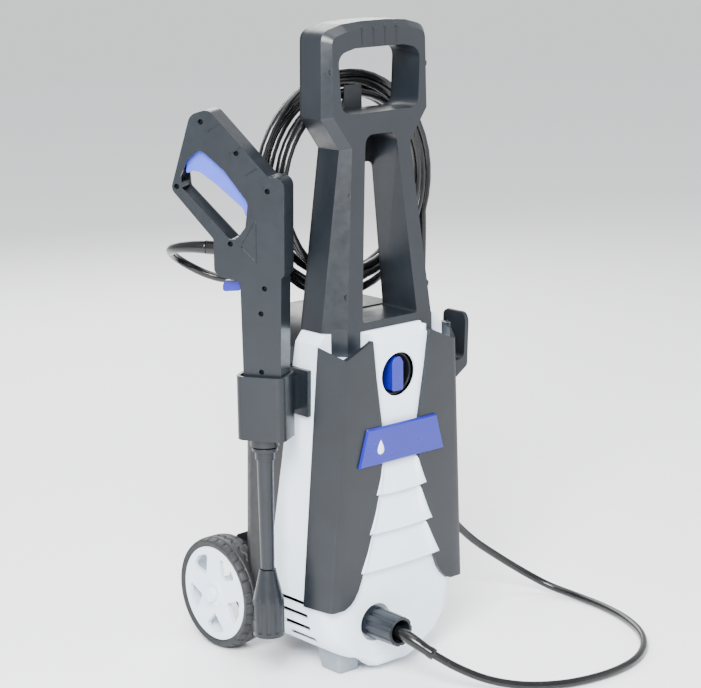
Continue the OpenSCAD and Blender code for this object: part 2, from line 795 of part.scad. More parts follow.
module wobble_plate() {
    color(steel) machine() difference() {
        union() {
            upright(10, 150, 165.5);
            translate([0, pump_y, 150]) rotate([7, 0, 0]) cylinder(r = 28, h = 5);
        }
        upright(shaft_r, 156, 170);
    }
}
module pump_housing() {
    color("#A9AFB5") machine() difference() {
        upright(40, 96, 165.8);
        upright(35, 118, 170);
        for (k = [0:2]) piston_at(k) translate([0, 0, 90]) cylinder(r = 6.2, h = 60);
    }
}
module piston_at(k) {
    translate([0, pump_y, 0]) rotate([0, 0, 120 * k + 30]) translate([18, 0, 0]) children();
}
module pistons() {
    color(steel) machine() for (k = [0:2]) piston_at(k) {
        translate([0, 0, 97]) cylinder(r = 6, h = 42);
        translate([0, 0, 137]) cylinder(r = 9, h = 3);
    }
}
module piston_springs() {
    color(steel) machine() for (k = [0:2]) piston_at(k) difference() {
        translate([0, 0, 118.5]) cylinder(r = 8.4, h = 18);
        translate([0, 0, 110]) cylinder(r = 6.4, h = 30);
        for (j = [0:3]) translate([0, 0, 120.5 + 4 * j]) difference() {
            cylinder(r = 12, h = 2);
            cylinder(r = 7.2, h = 2);
        }
    }
}
module pump_head() {
    color("#C2C6CA") machine() difference() {
        box([-48, head_front, 52], [48, feed_y + feed_r + 4, 95.8]);
        along_y([outlet_x, -100, outlet_z], 4, 50);
        translate([inlet_x, feed_y, 79.5]) cylinder(r = feed_r + 0.7 + gap, h = 30);
    }
}
module pressure_switch() {
    color("#2B5FA8") machine() {
        box([-47, -70, 96], [-47 + 5, -48, 140]);
        box([-70, -72, 100], [-47, -46, 136]);
    }
}
module capacitor() {
    color("#D9D9D2") machine() translate([62, -60, 210]) cylinder(r = 16, h = 60);
}

// ---------- spray gun ----------
// The gun stands upright beside the casing; its own frame has X along the grip, Y to its near side
gun_at = [-152, -59, 0];
gun_turn = 121;
module on_gun() { machine() translate(gun_at) rotate([0, 0, gun_turn]) children(); }
// Outline [along, up, corner radius], from the barrel's foot round the grip and back
gun_low = 322;
gun_outline = [
    [-26, gun_low, 2], [18, gun_low, 2], [20, 507, 4], [44, 511, 8], [52, 518, 6], [52, 556, 4],
    [103, 613, 10], [77, 700, 14], [54, 707, 12], [-17, 631, 5], [-37, 629, 12], [-35, 517, 1],
    [-31, 513, 1]
];
guard_opening = [
    [66, 661, 8], [37, 637, 10], [8, 600, 12], [12, 571, 4], [23, 557, 6], [32, 556, 5],
    [90, 614, 6], [91, 628, 4], [82, 647, 8]
];
trigger_outline = [
    [14, 579, 2], [17, 591, 8], [52, 620, 10], [71, 633, 6], [80, 634, 4], [88, 629, 2],
    [86, 645, 6], [71, 661, 6], [61, 661, 4], [36, 641, 8], [-4, 606, 4], [-18, 598, 3],
    [-18, 590, 2], [-3, 588, 2], [8, 592, 3]
];
trigger_slot = [
    [16, 572, 0], [20, 588, 0], [52, 614, 0], [95, 622, 0], [94, 650, 0], [76, 676, 0], [56, 674, 0],
    [26, 648, 0], [-4, 619, 0], [-22, 603, 0], [-22, 584, 0], [8, 584, 0]
];
trigger_pivot = [-2, 597];
trigger_pin_r = 2.5;
gun_screw_at = [
    [64, 692], [21, 657], [96, 616], [-16, 614], [-10, 500], [31, 551], [-5, 470], [-4, 400]
];
gun_screw_r = 1.6;
valve_x = -14;
valve_r = 10;
// Water's way round the screws, from the valve down to the barrel's foot
pipe_r = 4.5;
pipe_route = [
    [valve_x, 0, 520.8], [-18, 0, 500], [-14, 0, 470], [-4, 0, 440], [3.5, 0, 415], [3.5, 0, 398],
    [0.5, 0, 388]
];
module upright_at(x, r, z0, z1, r2 = -1) {
    translate([x, 0, z0]) cylinder(r1 = r, r2 = r2 < 0 ? r : r2, h = z1 - z0);
}
// One half of the gun's body, between its middle plane and its near side
module gun_half(screw_heads) {
    difference() {
        union() {
            difference() {
                front_prism(rounded(gun_outline), 0, gun_t);
                front_prism(rounded(reverse(guard_opening)), -1, gun_t + 1);
                difference() {
                    front_prism(rounded(inset(gun_outline, gun_wall)), -1, gun_t - gun_wall);
                    front_prism(rounded(inset(reverse(guard_opening), -gun_wall)), -2, gun_t);
                }
            }
            for (p = gun_screw_at) along_y([p[0], 0, p[1]], 5, gun_t - 1);
            along_y([trigger_pivot[0], trigger_t + 0.3, trigger_pivot[1]], 5, gun_t - trigger_t - 1);
        }
        front_prism(rounded(trigger_slot), -1, trigger_t + 0.3);
        for (p = gun_screw_at) {
            along_y([p[0], -1, p[1]], gun_screw_r + gap, gun_t - 3);
            if (screw_heads) along_y([p[0], gun_t - 6, p[1]], 3.2, 10);
        }
        along_y([trigger_pivot[0], -1, trigger_pivot[1]], trigger_pin_r, gun_t - 1);
        upright_at(valve_x, valve_r + gap, 520, 582);
        along_x([valve_x, 0, 543], 7, 90);
        upright_at(0, 9 + run, 300, 350);
        upright_at(0, 6 + gap, 340, 395);
        front_prism([[24, 505], [44, 505], [44, 522], [24, 522]], -1, clip_t);
        tube(pipe_route, pipe_r + gap, 12);
    }
}
function reverse(pts) = [for (i = [len(pts) - 1:-1:0]) pts[i]];
clip_t = 6;
module gun_shell_near() {
    color(slate) on_gun() gun_half(true);
}
module gun_shell_far() {
    color(slate) on_gun() mirror([0, 1, 0]) gun_half(false);
}
module gun_screws() {
    color(steel) on_gun() for (p = gun_screw_at) {
        along_y([p[0], -gun_t + 5, p[1]], gun_screw_r, 2 * gun_t - 11);
        along_y([p[0], gun_t - 6, p[1]], 2.8, 1.8);
    }
}
module trigger() {
    color("#5A62C0") on_gun() difference() {
        front_prism(rounded(trigger_outline), -trigger_t, trigger_t);
        along_y([trigger_pivot[0], -20, trigger_pivot[1]], trigger_pin_r + run, 40);
    }
}
module trigger_pin() {
    color(steel) on_gun()
        along_y([trigger_pivot[0], -gun_t + 2.5, trigger_pivot[1]], trigger_pin_r, 2 * gun_t - 5);
}
rod_r = 2;
module gun_valve() {
    color(brass) on_gun() difference() {
        upright_at(valve_x, valve_r, 521, 578);
        upright_at(valve_x, rod_r + run, 500, 600);
        upright_at(valve_x, 6, 530, 570);
        along_x([valve_x, 0, 543], 4, 40);
    }
}
module valve_rod() {
    color(steel) on_gun() {
        upright_at(valve_x, rod_r, 540, 589);
        upright_at(valve_x, 5, 540, 544);
    }
}
// Helical spring between the rod's collar and the valve's floor
module valve_spring() {
    turns = 4;
    color(steel) on_gun() tube([for (k = [0:turns * 10])
        [valve_x + 4.2 * cos(36 * k), 4.2 * sin(36 * k), 531 + 7.6 * k / (turns * 10)]], 0.6, 6);
}
module gun_inlet() {
    color(brass) on_gun() difference() {
        union() {
            along_x([valve_x + valve_r + gap, 0, 543], 5.8, 55.8);
            along_x([45, 0, 543], 8.6, 4);
        }
        along_x([valve_x, 0, 543], 4, 90);
    }
}
module gun_pipe() {
    color(brass) on_gun() difference() {
        union() {
            tube(pipe_route, pipe_r, 12);
            upright_at(0, 6, 341, 392);
        }
        upright_at(0, 3.5, 335, 380);
    }
}
module hose_clip() {
    color("#5B57C8") on_gun() difference() {
        front_prism(rounded([
            [25, 505.5, 1], [43, 505.5, 1], [46, 500, 2], [46, 492, 3], [24, 494, 3], [24, 500, 1]
        ]), -clip_t + 0.3, clip_t - 0.3);
        box([29, -2.5, 485], [39, 2.5, 502]);
    }
}

// ---------- lance ----------
collar_top = gun_low - 1.7;
module lance_collar() {
    color(slate) on_gun() difference() {
        union() {
            upright_at(0, 17.5, 307, collar_top);
            upright_at(0, 15.6, 300.5, 305);
            upright_at(0, 12, 290, 307);
            upright_at(0, 9, 307, 339);
        }
        upright_at(0, lance_r - 2, 280, 304);
        upright_at(0, 4, 280, 345);
        translate([0, 0, 331]) difference() {
            cylinder(r = 12, h = 3);
            cylinder(r = 7, h = 3);
        }
    }
}
module lance_seal() {
    color(black) on_gun() translate([0, 0, 332.5])
        rotate_extrude() translate([8, 0]) circle(r = 1, $fn = 24);
}
nozzle_top = 154;
nozzle_bottom = 69;
module lance_tube() {
    color(slate) on_gun() difference() {
        union() {
            upright_at(0, lance_r - 1.6, nozzle_top - 1, 289.8, lance_r);
            upright_at(0, lance_r - 2, 289.8, 303.5);
            upright_at(0, 6, nozzle_bottom + 30, nozzle_top);
        }
        upright_at(0, 4, 60, 310);
    }
}
module nozzle_body() {
    color(slate) on_gun() difference() {
        union() {
            upright_at(0, nozzle_r, nozzle_bottom + 43, nozzle_top - 2, lance_r);
            upright_at(0, nozzle_r, nozzle_bottom, nozzle_bottom + 43);
        }
        for (k = [0:9]) rotate([0, 0, 36 * k])
            upright_at(nozzle_r + 3.2, 4.6, nozzle_bottom + 5, nozzle_top - 10);
        upright_at(0, 6 + run, nozzle_bottom + 20, nozzle_top + 5);
        upright_at(0, nozzle_r - 4.5, nozzle_bottom - 1, nozzle_bottom + 26);
        rotate([0, 0, 18]) box([nozzle_r - 7, -6, nozzle_bottom + 18], [nozzle_r + 5, 6, nozzle_bottom + 38]);
    }
}
module nozzle_insert() {
    color(brass) on_gun() difference() {
        upright_at(0, 8, nozzle_bottom + 14, nozzle_bottom + 25.9);
        upright_at(0, 1, 60, 120);
    }
}

// Holder on the casing's left side: an open-topped sleeve with a floor ring under the barrel
sleeve_top = 395;
sleeve_in = [[-29, -nozzle_r - 1, 6], [24, -nozzle_r - 1, 6], [24, nozzle_r + 1, 6], [-29, nozzle_r + 1, 6]];
module gun_holder() {
    floor_z = gun_low - 4.3;
    color(slate) difference() {
        union() {
            on_gun() translate([0, 0, floor_z])
                linear_extrude(sleeve_top - floor_z) polygon(rounded(inset(sleeve_in, -holder_wall)));
            machine() box([-136, -71, 346], [-105, -44, 386]);
            machine() mirror([1, 0, 0]) skin([for (z = [338, 394])
                at_z([[half_w(z) + gap + 0.3, -86], [half_w(z) + 6, -86], [half_w(z) + 6, -38],
                    [half_w(z) + gap + 0.3, -38]], z)]);
        }
        on_gun() translate([0, 0, gun_low - 0.3])
            linear_extrude(100) polygon(rounded(sleeve_in));
        on_gun() upright_at(0, holder_r, 300, 400);
    }
}

// ---------- hose ----------
nut_y = outlet_floor - 6;
nut_r = 18.5;
nut_len = 52;
module coupling_nut() {
    color(slate) machine() difference() {
        along_y([outlet_x, nut_y - nut_len, outlet_z], nut_r, nut_len, nut_r + 1);
        along_y([outlet_x, -140, outlet_z], outlet_r - 2 + run, 60);
        along_y([outlet_x, nut_y - nut_len - 1, outlet_z], 14.5, 28);
        for (k = [0:9]) rotate_about_outlet(36 * k)
            along_y([outlet_x, nut_y - nut_len - 1, outlet_z + nut_r + 2.2], 3.4, nut_len - 8);
    }
}
module rotate_about_outlet(a) {
    translate([outlet_x, 0, outlet_z]) rotate([0, a, 0]) translate([-outlet_x, 0, -outlet_z]) children();
}
// The hose's route, chosen by hand: out of the nut, over the floor and up the casing's side
front_points = [
    [-33, -138.7, 70], [-33, -162, 69.5], [-29, -186, 62], [-17, -208, 48], [4, -232, 31],
    [30, -256, 17], [62, -281, 9], [100, -302, 6], [140, -315, 5.5], [185, -319, 5.5],
    [230, -311, 5.5], [272, -288, 5.5], [306, -252, 5.5], [329, -206, 5.5], [341, -156, 5.5],
    [342, -106, 7], [331, -66, 14], [306, -38, 34],
    [272, -21, 61], [236, -13, 90], [201, -12, 125], [170, -14, 170], [148, -16, 224], [136, -18, 284],
    [131, -20, 346], [130, -24, 408], [131, -29, 470], [132, -30, 520], [132, -30, 552]
];
gun_points = [
    [-186, -2.4, 543], [-196.5, 16, 542.5], [-200, 41, 538], [-191, 64, 529], [-172, 78, 517],
    [-152, 78, 504], [-136, 67, 494], [-123, 50, 489], [-113, 31, 491], [-107, 12, 503],
    [-108, -5, 528], [-116, -15, 560], [-121, -18, 590]
];
sleeve_steps = 9;
front_route = curve(front_points);
gun_route = curve(gun_points);
function part_of(route, a, b) = [for (i = [a:b]) route[i]];
module hose_sleeve() {
    color(black) machine() tube(part_of(front_route, 0, sleeve_steps), hose_d / 2 + 3, 12);
}
module hose_front_run() {
    color(black) machine()
        tube(part_of(front_route, sleeve_steps, len(front_route) - 1), hose_d / 2, 8);
}
module hose_coil() {
    color(black) machine() translate(coil_centre) rotate([90, 0, 0]) rotate_extrude($fn = 96)
        translate([coil_r - coil_band / 2, 0]) polygon(rounded([
            [-coil_band / 2, -coil_depth / 2, 12], [coil_band / 2, -coil_depth / 2, 12],
            [coil_band / 2, coil_depth / 2, 12], [-coil_band / 2, coil_depth / 2, 12]
        ], 3));
}
module gun_sleeve() {
    color(black) on_gun() along_x([52.4, 0, 543], hose_d / 2 + 3.5, 13.2);
}
module hose_gun_run() {
    color(black) machine() tube(gun_route, hose_d / 2, 8);
}

front_shell();
rear_shell();
left_panel();
right_panel();
name_plate();
switch_housing();
switch_knob();
switch_body();
tower_front();
tower_back();
hose_hook();
gun_holder();
feet();
axle();
axle_caps();
left_rim();
left_tyre();
right_rim();
right_tyre();
outlet_fitting();
inlet_fitting();
inlet_filter();
cable_gland();
casing_screws();
tower_screws();
motor_stator();
motor_bearings();
motor_rotor();
cooling_fan();
wobble_plate();
pump_housing();
pump_head();
pistons();
piston_springs();
pressure_switch();
inlet_pipe();
outlet_pipe();
capacitor();
gun_shell_near();
gun_shell_far();
gun_screws();
gun_valve();
gun_inlet();
gun_pipe();
valve_rod();
valve_spring();
trigger();
trigger_pin();
hose_clip();
lance_collar();
lance_tube();
lance_seal();
nozzle_body();
nozzle_insert();
coupling_nut();
hose_sleeve();
gun_sleeve();
hose_front_run();
hose_coil();
hose_gun_run();
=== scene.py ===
"""Upright pressure washer: finishes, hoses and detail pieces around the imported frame."""

import json
import math

import bmesh
import bpy
import numpy as np
from mathutils import Matrix, Vector


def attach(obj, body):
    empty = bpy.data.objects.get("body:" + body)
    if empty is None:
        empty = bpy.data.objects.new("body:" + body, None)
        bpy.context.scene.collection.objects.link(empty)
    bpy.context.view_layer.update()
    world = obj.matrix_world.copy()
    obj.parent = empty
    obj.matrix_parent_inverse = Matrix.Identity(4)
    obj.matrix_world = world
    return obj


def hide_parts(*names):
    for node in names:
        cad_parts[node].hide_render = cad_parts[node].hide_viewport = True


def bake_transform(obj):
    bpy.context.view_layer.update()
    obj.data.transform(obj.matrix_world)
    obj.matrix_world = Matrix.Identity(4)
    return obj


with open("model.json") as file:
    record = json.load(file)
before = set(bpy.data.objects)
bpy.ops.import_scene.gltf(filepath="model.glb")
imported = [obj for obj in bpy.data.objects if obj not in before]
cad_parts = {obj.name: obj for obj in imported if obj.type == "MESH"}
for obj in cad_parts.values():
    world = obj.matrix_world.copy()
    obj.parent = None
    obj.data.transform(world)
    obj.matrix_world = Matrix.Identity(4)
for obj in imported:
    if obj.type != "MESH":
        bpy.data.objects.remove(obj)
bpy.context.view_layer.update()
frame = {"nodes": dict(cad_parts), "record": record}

MM = 0.001
TAU = 2 * math.pi
# From the tower's middle line to the middle of the footprint, as in the CAD
HOME = np.array([36.0, 0.0, 0.0])


def place(points):
    """Points in millimetres from the tower's middle line become metres in the row frame."""
    return (np.asarray(points, float) + HOME) * MM


# ---------- camera ----------
CAMERA_AT = [-1642.4, -1938.7, 990.9]
AZIMUTH, ELEVATION, ROLL = (math.radians(a) for a in (-40.88, 13.2, -0.77))
LENS_MM, SENSOR_MM = 107.58, 36
CLIP_END_M = 20


def add_camera():
    """Camera whose back, right and up axes follow from azimuth, elevation and roll."""
    back = Vector((math.sin(AZIMUTH) * math.cos(ELEVATION),
                   -math.cos(AZIMUTH) * math.cos(ELEVATION), math.sin(ELEVATION)))
    level = Vector((math.cos(AZIMUTH), math.sin(AZIMUTH), 0))
    upright = back.cross(level)
    right = math.cos(ROLL) * level + math.sin(ROLL) * upright
    up = math.cos(ROLL) * upright - math.sin(ROLL) * level
    data = bpy.data.cameras.new("camera")
    data.lens = LENS_MM
    data.sensor_width = SENSOR_MM
    data.clip_end = CLIP_END_M
    camera = bpy.data.objects.new("camera", data)
    turn = Matrix((right, up, back)).transposed().to_4x4()
    camera.matrix_world = Matrix.Translation(place(CAMERA_AT)) @ turn
    bpy.context.collection.objects.link(camera)
    bpy.context.scene.camera = camera


add_camera()


# ---------- materials ----------
# Sizes of the faint patterns that every moulded or metal surface shares, in millimetres
MOTTLE_MM, MARKS_MM, PATCHES_MM, FLOOR_MM = 71.43, 11.11, 16.67, 33.33
COAT_ROUGHNESS = 0.15


def linear(hex_colour):
    """sRGB hex to linear RGBA."""
    c = np.array([int(hex_colour[i:i + 2], 16) for i in (1, 3, 5)]) / 255
    c = np.where(c <= 0.04045, c / 12.92, ((c + 0.055) / 1.055) ** 2.4)
    return (*c.tolist(), 1.0)


def add(tree, kind, links=(), **settings):
    """Adds a node; links are (input, node, output) and settings are input values or properties."""
    node = tree.nodes.new(kind)
    for key, value in settings.items():
        name = key.replace("_", " ")
        if name in node.inputs:
            node.inputs[name].default_value = value
        else:
            setattr(node, key, value)
    for socket, source, output in links:
        tree.links.new(source.outputs[output], node.inputs[socket])
    return node


def new_material(name):
    material = bpy.data.materials.new(name)
    material.use_nodes = True
    tree = material.node_tree
    tree.nodes.clear()
    return material, tree


def finish_material(tree, shader):
    add(tree, "ShaderNodeOutputMaterial", [("Surface", shader, "BSDF")])


def moulded(name, colour, shade, rough, grain_mm, depth_mm, coat=0.0, wear=0.06, sheen=0.5):
    """A moulded surface: grain of a real size as bump, faint mottling of colour, and roughness
    that goes up and down by wear where hands and dust have been."""
    material, tree = new_material(name)
    place_on = add(tree, "ShaderNodeTexCoord")
    grain = add(tree, "ShaderNodeTexNoise", [("Vector", place_on, "Object")],
                Scale=1 / (grain_mm * MM), Detail=3.0, Roughness=0.6)
    mottle = add(tree, "ShaderNodeTexNoise", [("Vector", place_on, "Object")],
                 Scale=1 / (MOTTLE_MM * MM), Detail=5.0, Roughness=0.62)
    marks = add(tree, "ShaderNodeTexNoise", [("Vector", place_on, "Object")],
                Scale=1 / (MARKS_MM * MM), Detail=4.0, Roughness=0.7)
    hue = add(tree, "ShaderNodeValToRGB", [("Fac", mottle, "Fac")])
    hue.color_ramp.elements[0].position = 0.3
    hue.color_ramp.elements[0].color = linear(shade)
    hue.color_ramp.elements[1].position = 0.62
    hue.color_ramp.elements[1].color = linear(colour)
    roughness = add(tree, "ShaderNodeMapRange", [("Value", marks, "Fac")],
                    From_Min=0.3, From_Max=0.7, To_Min=rough - wear, To_Max=rough + wear)
    bump = add(tree, "ShaderNodeBump", [("Height", grain, "Fac")], Strength=0.5,
               Distance=depth_mm * MM)
    shader = add(tree, "ShaderNodeBsdfPrincipled",
                 [("Base Color", hue, "Color"), ("Roughness", roughness, "Result"),
                  ("Normal", bump, "Normal")], IOR=1.5, Coat_Weight=coat,
                 Coat_Roughness=COAT_ROUGHNESS, Specular_IOR_Level=sheen)
    finish_material(tree, shader)
    return material


def metal(name, colour, shade, rough, grain_mm):
    """Bare or plated metal: a fine grain of a real size as bump, and dull patches that change its
    colour and roughness."""
    material, tree = new_material(name)
    place_on = add(tree, "ShaderNodeTexCoord")
    grain = add(tree, "ShaderNodeTexNoise", [("Vector", place_on, "Object")],
                Scale=1 / (grain_mm * MM), Detail=2.0)
    patches = add(tree, "ShaderNodeTexNoise", [("Vector", place_on, "Object")],
                  Scale=1 / (PATCHES_MM * MM), Detail=4.0)
    hue = add(tree, "ShaderNodeValToRGB", [("Fac", patches, "Fac")])
    hue.color_ramp.elements[0].color = linear(shade)
    hue.color_ramp.elements[1].color = linear(colour)
    roughness = add(tree, "ShaderNodeMapRange", [("Value", patches, "Fac")],
                    From_Min=0.3, From_Max=0.7, To_Min=rough - 0.08, To_Max=rough + 0.1)
    bump = add(tree, "ShaderNodeBump", [("Height", grain, "Fac")], Strength=0.3,
               Distance=0.1 * MM)
    shader = add(tree, "ShaderNodeBsdfPrincipled",
                 [("Base Color", hue, "Color"), ("Roughness", roughness, "Result"),
                  ("Normal", bump, "Normal")], Metallic=1.0)
    finish_material(tree, shader)
    return material


# Moulded ABS, light blue grey: satin with a very fine spark-eroded grain
casing_abs = moulded("moulded ABS light grey", "#E4EFFA", "#DCE8F5", 0.4, 0.9, 0.03)
# Moulded polypropylene, slate: a slightly coarser grain and a soft, broad shine
slate_pp = moulded("moulded polypropylene slate", "#171C22", "#13171C", 0.34, 1.0, 0.05,
                   sheen=0.4)
# Moulded polypropylene, black: the same grain, but duller, for the rear shell
black_pp = moulded("moulded polypropylene black", "#0D0F12", "#0A0B0D", 0.4, 1.0, 0.06,
                   sheen=0.4)
# Moulded ABS, blue: polished mould, so nearly smooth with a clear shine
blue_abs = moulded("moulded ABS blue", "#10168A", "#0F1480", 0.32, 1.4, 0.012, coat=0.12)
# Moulded nylon, lighter blue: satin trigger worn a little by fingers
trigger_nylon = moulded("moulded nylon blue", "#4656C6", "#3E4DBA", 0.34, 1.2, 0.02, coat=0.15)
# Thermoplastic rubber feet, mid grey and dull
foot_tpr = moulded("thermoplastic rubber grey", "#8A9299", "#7A8289", 0.62, 1.1, 0.06)
# EPDM rubber tyres, black and dull, with patches of dust
tyre_epdm = moulded("EPDM rubber tyre", "#1D1F22", "#16181A", 0.6, 1.2, 0.08, wear=0.1)
# PVC hose cover: glossy black, very slightly uneven
hose_pvc = moulded("PVC hose cover black", "#0B0C0E", "#08090A", 0.24, 2.0, 0.02, coat=0.12,
                   sheen=0.4)
# Zinc plated steel: pale, with dull patches where the plating has clouded
zinc_steel = metal("zinc plated steel", "#C9CCD0", "#A9ADB2", 0.3, 0.5)
# Blackened steel screws, sunk in their holes
black_steel = metal("black oxide steel", "#26282B", "#17181A", 0.45, 0.5)
# Die-cast aluminium: grey with a sandy skin
cast_aluminium = metal("die cast aluminium", "#B4B8BC", "#9A9EA3", 0.45, 0.7)
# Machined brass: yellow and fairly bright
turned_brass = metal("machined brass", "#D9B566", "#B8934B", 0.28, 0.4)
# Natural nylon: milky and waxy
natural_nylon = moulded("natural nylon", "#D5D8D6", "#C8CBC9", 0.5, 1.2, 0.02)

FINISH = {
    "casing_plastic": casing_abs, "dark_plastic": slate_pp, "black_plastic": black_pp,
    "foot_rubber": foot_tpr, "blue_plastic": blue_abs, "trigger_blue": trigger_nylon,
    "tyre_rubber": tyre_epdm, "hose_rubber": hose_pvc, "steel": zinc_steel,
    "aluminium": cast_aluminium, "brass": turned_brass, "nylon": natural_nylon,
}
SLOT_OF = {s["node"]: s["material_slot"] for s in frame["record"]["subparts"]}
BODY_OF = {n: b for b, nodes in frame["record"]["behaviour"]["bodies"].items() for n in nodes}
for node, obj in frame["nodes"].items():
    obj.data.materials.clear()
    obj.data.materials.append(FINISH[SLOT_OF[node]])
frame["nodes"]["gun_screws"].data.materials[0] = black_steel


# ---------- meshes ----------
def piece(name, points, faces, material, body, stands_for=()):
    """A piece from its points in metres and its faces, smooth shaded, riding on a body."""
    mesh = bpy.data.meshes.new(name)
    mesh.from_pydata(points, [], faces)
    mesh.polygons.foreach_set("use_smooth", [True] * len(mesh.polygons))
    mesh.materials.append(material)
    mesh.validate()
    obj = bpy.data.objects.new(name, mesh)
    bpy.context.collection.objects.link(obj)
    if body:
        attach(obj, body)
    if stands_for:
        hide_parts(*stands_for)
    return obj


def grid_faces(rows, columns, round_rows=False, round_columns=False):
    """Quads between neighbouring rows and columns, closing round where asked."""
    r = np.arange(rows if round_rows else rows - 1)
    c = np.arange(columns if round_columns else columns - 1)
    r, c = np.meshgrid(r, c, indexing="ij")
    r1, c1 = (r + 1) % rows, (c + 1) % columns
    return np.stack([r * columns + c, r * columns + c1, r1 * columns + c1, r1 * columns + c],
                    -1).reshape(-1, 4)


def curve_through(points, steps):
    """Catmull-Rom curve: between two chosen points, the cubic through them whose slope at each is
    half the step from its neighbour before to its neighbour after."""
    p = np.asarray(points, float)
    a, b, c, d = (p[np.clip(np.arange(len(p) - 1) + k, 0, len(p) - 1)] for k in (-1, 0, 1, 2))
    t = (np.arange(steps) / steps)[None, :, None]
    a, b, c, d = (q[:, None, :] for q in (a, b, c, d))
    out = 0.5 * (2 * b + (c - a) * t + (2 * a - 5 * b + 4 * c - d) * t**2
                 + (3 * b - a - 3 * c + d) * t**3)
    return np.vstack([out.reshape(-1, 3), p[-1:]])


def frames_along(path):
    """Tangent, side and other side at each point; the side is carried along without twist."""
    tangent = np.gradient(path, axis=0)
    tangent /= np.linalg.norm(tangent, axis=1)[:, None]
    side = np.zeros_like(path)
    now = np.cross(tangent[0], [0, 0, 1.0] if abs(tangent[0][2]) < 0.8 else [1.0, 0, 0])
    for i, t in enumerate(tangent):
        now = now - now.dot(t) * t
        now /= np.linalg.norm(now)
        side[i] = now
    return tangent, side, np.cross(tangent, side)


# Radius of a tube's closing row, as a share of the tube's own
END_SHARE = 0.02


def tube(path, radius, around=20):
    """Tube: each path point plus radius times (cos a side + sin a other side); its two ends are
    closed by a row drawn in to the path's end points."""
    _, side, other = frames_along(path)
    a = np.arange(around) / around * TAU
    radius = np.broadcast_to(np.asarray(radius, float), (len(path),))
    ring = (np.cos(a)[None, :, None] * side[:, None, :]
            + np.sin(a)[None, :, None] * other[:, None, :])
    rows = path[:, None, :] + radius[:, None, None] * ring
    rows = np.concatenate([path[None, None, 0] + END_SHARE * (rows[:1] - path[0]), rows,
                           path[None, None, -1] + END_SHARE * (rows[-1:] - path[-1])])
    faces = grid_faces(len(rows), around, round_columns=True).tolist()
    last = (len(rows) - 1) * around
    faces += [list(range(around))[::-1], list(range(last, last + around))]
    return rows.reshape(-1, 3), faces


# ---------- hoses ----------
HOSE_R = 5.0
# Curve steps between two of the points below, and rows along the whole coil
STEPS, COIL_ROWS = 6, 240
FRONT_POINTS = [
    [-33, -138.7, 70], [-33, -162, 69.5], [-29, -186, 62], [-17, -208, 48], [4, -232, 31],
    [30, -256, 17], [62, -281, 9], [100, -302, 6], [140, -315, 5.5], [185, -319, 5.5],
    [230, -311, 5.5], [272, -288, 5.5], [306, -252, 5.5], [329, -206, 5.5], [341, -156, 5.5],
    [342, -106, 7], [331, -66, 14], [306, -38, 34],
    [272, -21, 61], [236, -13, 90], [201, -12, 125], [170, -14, 170], [148, -16, 224],
    [136, -18, 284], [131, -20, 346], [130, -24, 408], [131, -29, 470], [132, -30, 520],
    [132, -30, 552],
]
GUN_POINTS = [
    [-121, -18, 590], [-116, -15, 560], [-108, -5, 528], [-107, 12, 503], [-113, 31, 491],
    [-123, 50, 489], [-136, 67, 494], [-152, 78, 504], [-172, 78, 517], [-191, 64, 529],
    [-200, 41, 538], [-196.5, 16, 542.5], [-186, -2.4, 543],
]
COIL_CENTRE = np.array([9.5, -30.0, 600.0])
# The bundle's turns: each one's radius, and its depth behind the coil's middle plane
COIL_TURNS = np.array([[131.6, 0], [138.5, 11], [126, 13], [112.5, 12], [108, -1], [112, -13],
                       [131.2, 12.2]])
COIL_FROM, COIL_TO = math.radians(-21.4), math.radians(184.4 + 5 * 360)


def coil_path():
    """Circles about the coil's centre whose radius and depth drift from each turn's place in the
    bundle to the next one's as the angle grows."""
    angle = np.linspace(COIL_FROM, COIL_TO, COIL_ROWS)[1:-1]
    turn = (angle - COIL_FROM) / (COIL_TO - COIL_FROM) * (len(COIL_TURNS) - 1)
    k = np.arange(len(COIL_TURNS))
    radius = np.interp(turn, k, COIL_TURNS[:, 0])
    depth = np.interp(turn, k, COIL_TURNS[:, 1])
    return COIL_CENTRE + np.stack([radius * np.cos(angle), depth, radius * np.sin(angle)], 1)


front_path = curve_through(FRONT_POINTS, STEPS)
gun_path = curve_through(GUN_POINTS, STEPS)
hose_path = place(np.vstack([front_path, coil_path(), gun_path]))
verts, faces = tube(hose_path, HOSE_R * MM)
hose = piece("pressure_hose", verts, faces, hose_pvc, None,
             ["hose_front_run", "hose_coil", "hose_gun_run"])
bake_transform(hose)


# ---------- softened copies of the frame's mouldings ----------
# Points closer than this are one; faces flatter than FLAT to each other are joined, and an edge
# sharper than SHARP is a corner
MERGE_MM, FLAT, SHARP = 0.02, math.radians(0.8), math.radians(32)


def softened(node, edge_mm):
    """A merged copy of a frame node with its corners rounded by edge_mm and smooth shading
    elsewhere."""
    source = frame["nodes"][node]
    mesh = source.data.copy()
    mesh.name = node + "_moulding"
    b = bmesh.new()
    b.from_mesh(mesh)
    bmesh.ops.remove_doubles(b, verts=b.verts, dist=MERGE_MM * MM)
    bmesh.ops.dissolve_limit(b, angle_limit=FLAT, verts=b.verts, edges=b.edges)
    for edge in b.edges:
        edge.smooth = len(edge.link_faces) == 2 and edge.calc_face_angle(0) < SHARP
    for face in b.faces:
        face.smooth = True
    b.to_mesh(mesh)
    b.free()
    obj = bpy.data.objects.new(node + "_moulding", mesh)
    bpy.context.collection.objects.link(obj)
    bevel = obj.modifiers.new("rounded corners", "BEVEL")
    bevel.width = edge_mm * MM
    bevel.segments = 2
    bevel.limit_method = "ANGLE"
    bevel.angle_limit = SHARP
    bevel.harden_normals = True
    bevel.use_clamp_overlap = True
    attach(obj, BODY_OF[node])
    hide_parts(node)
    return obj


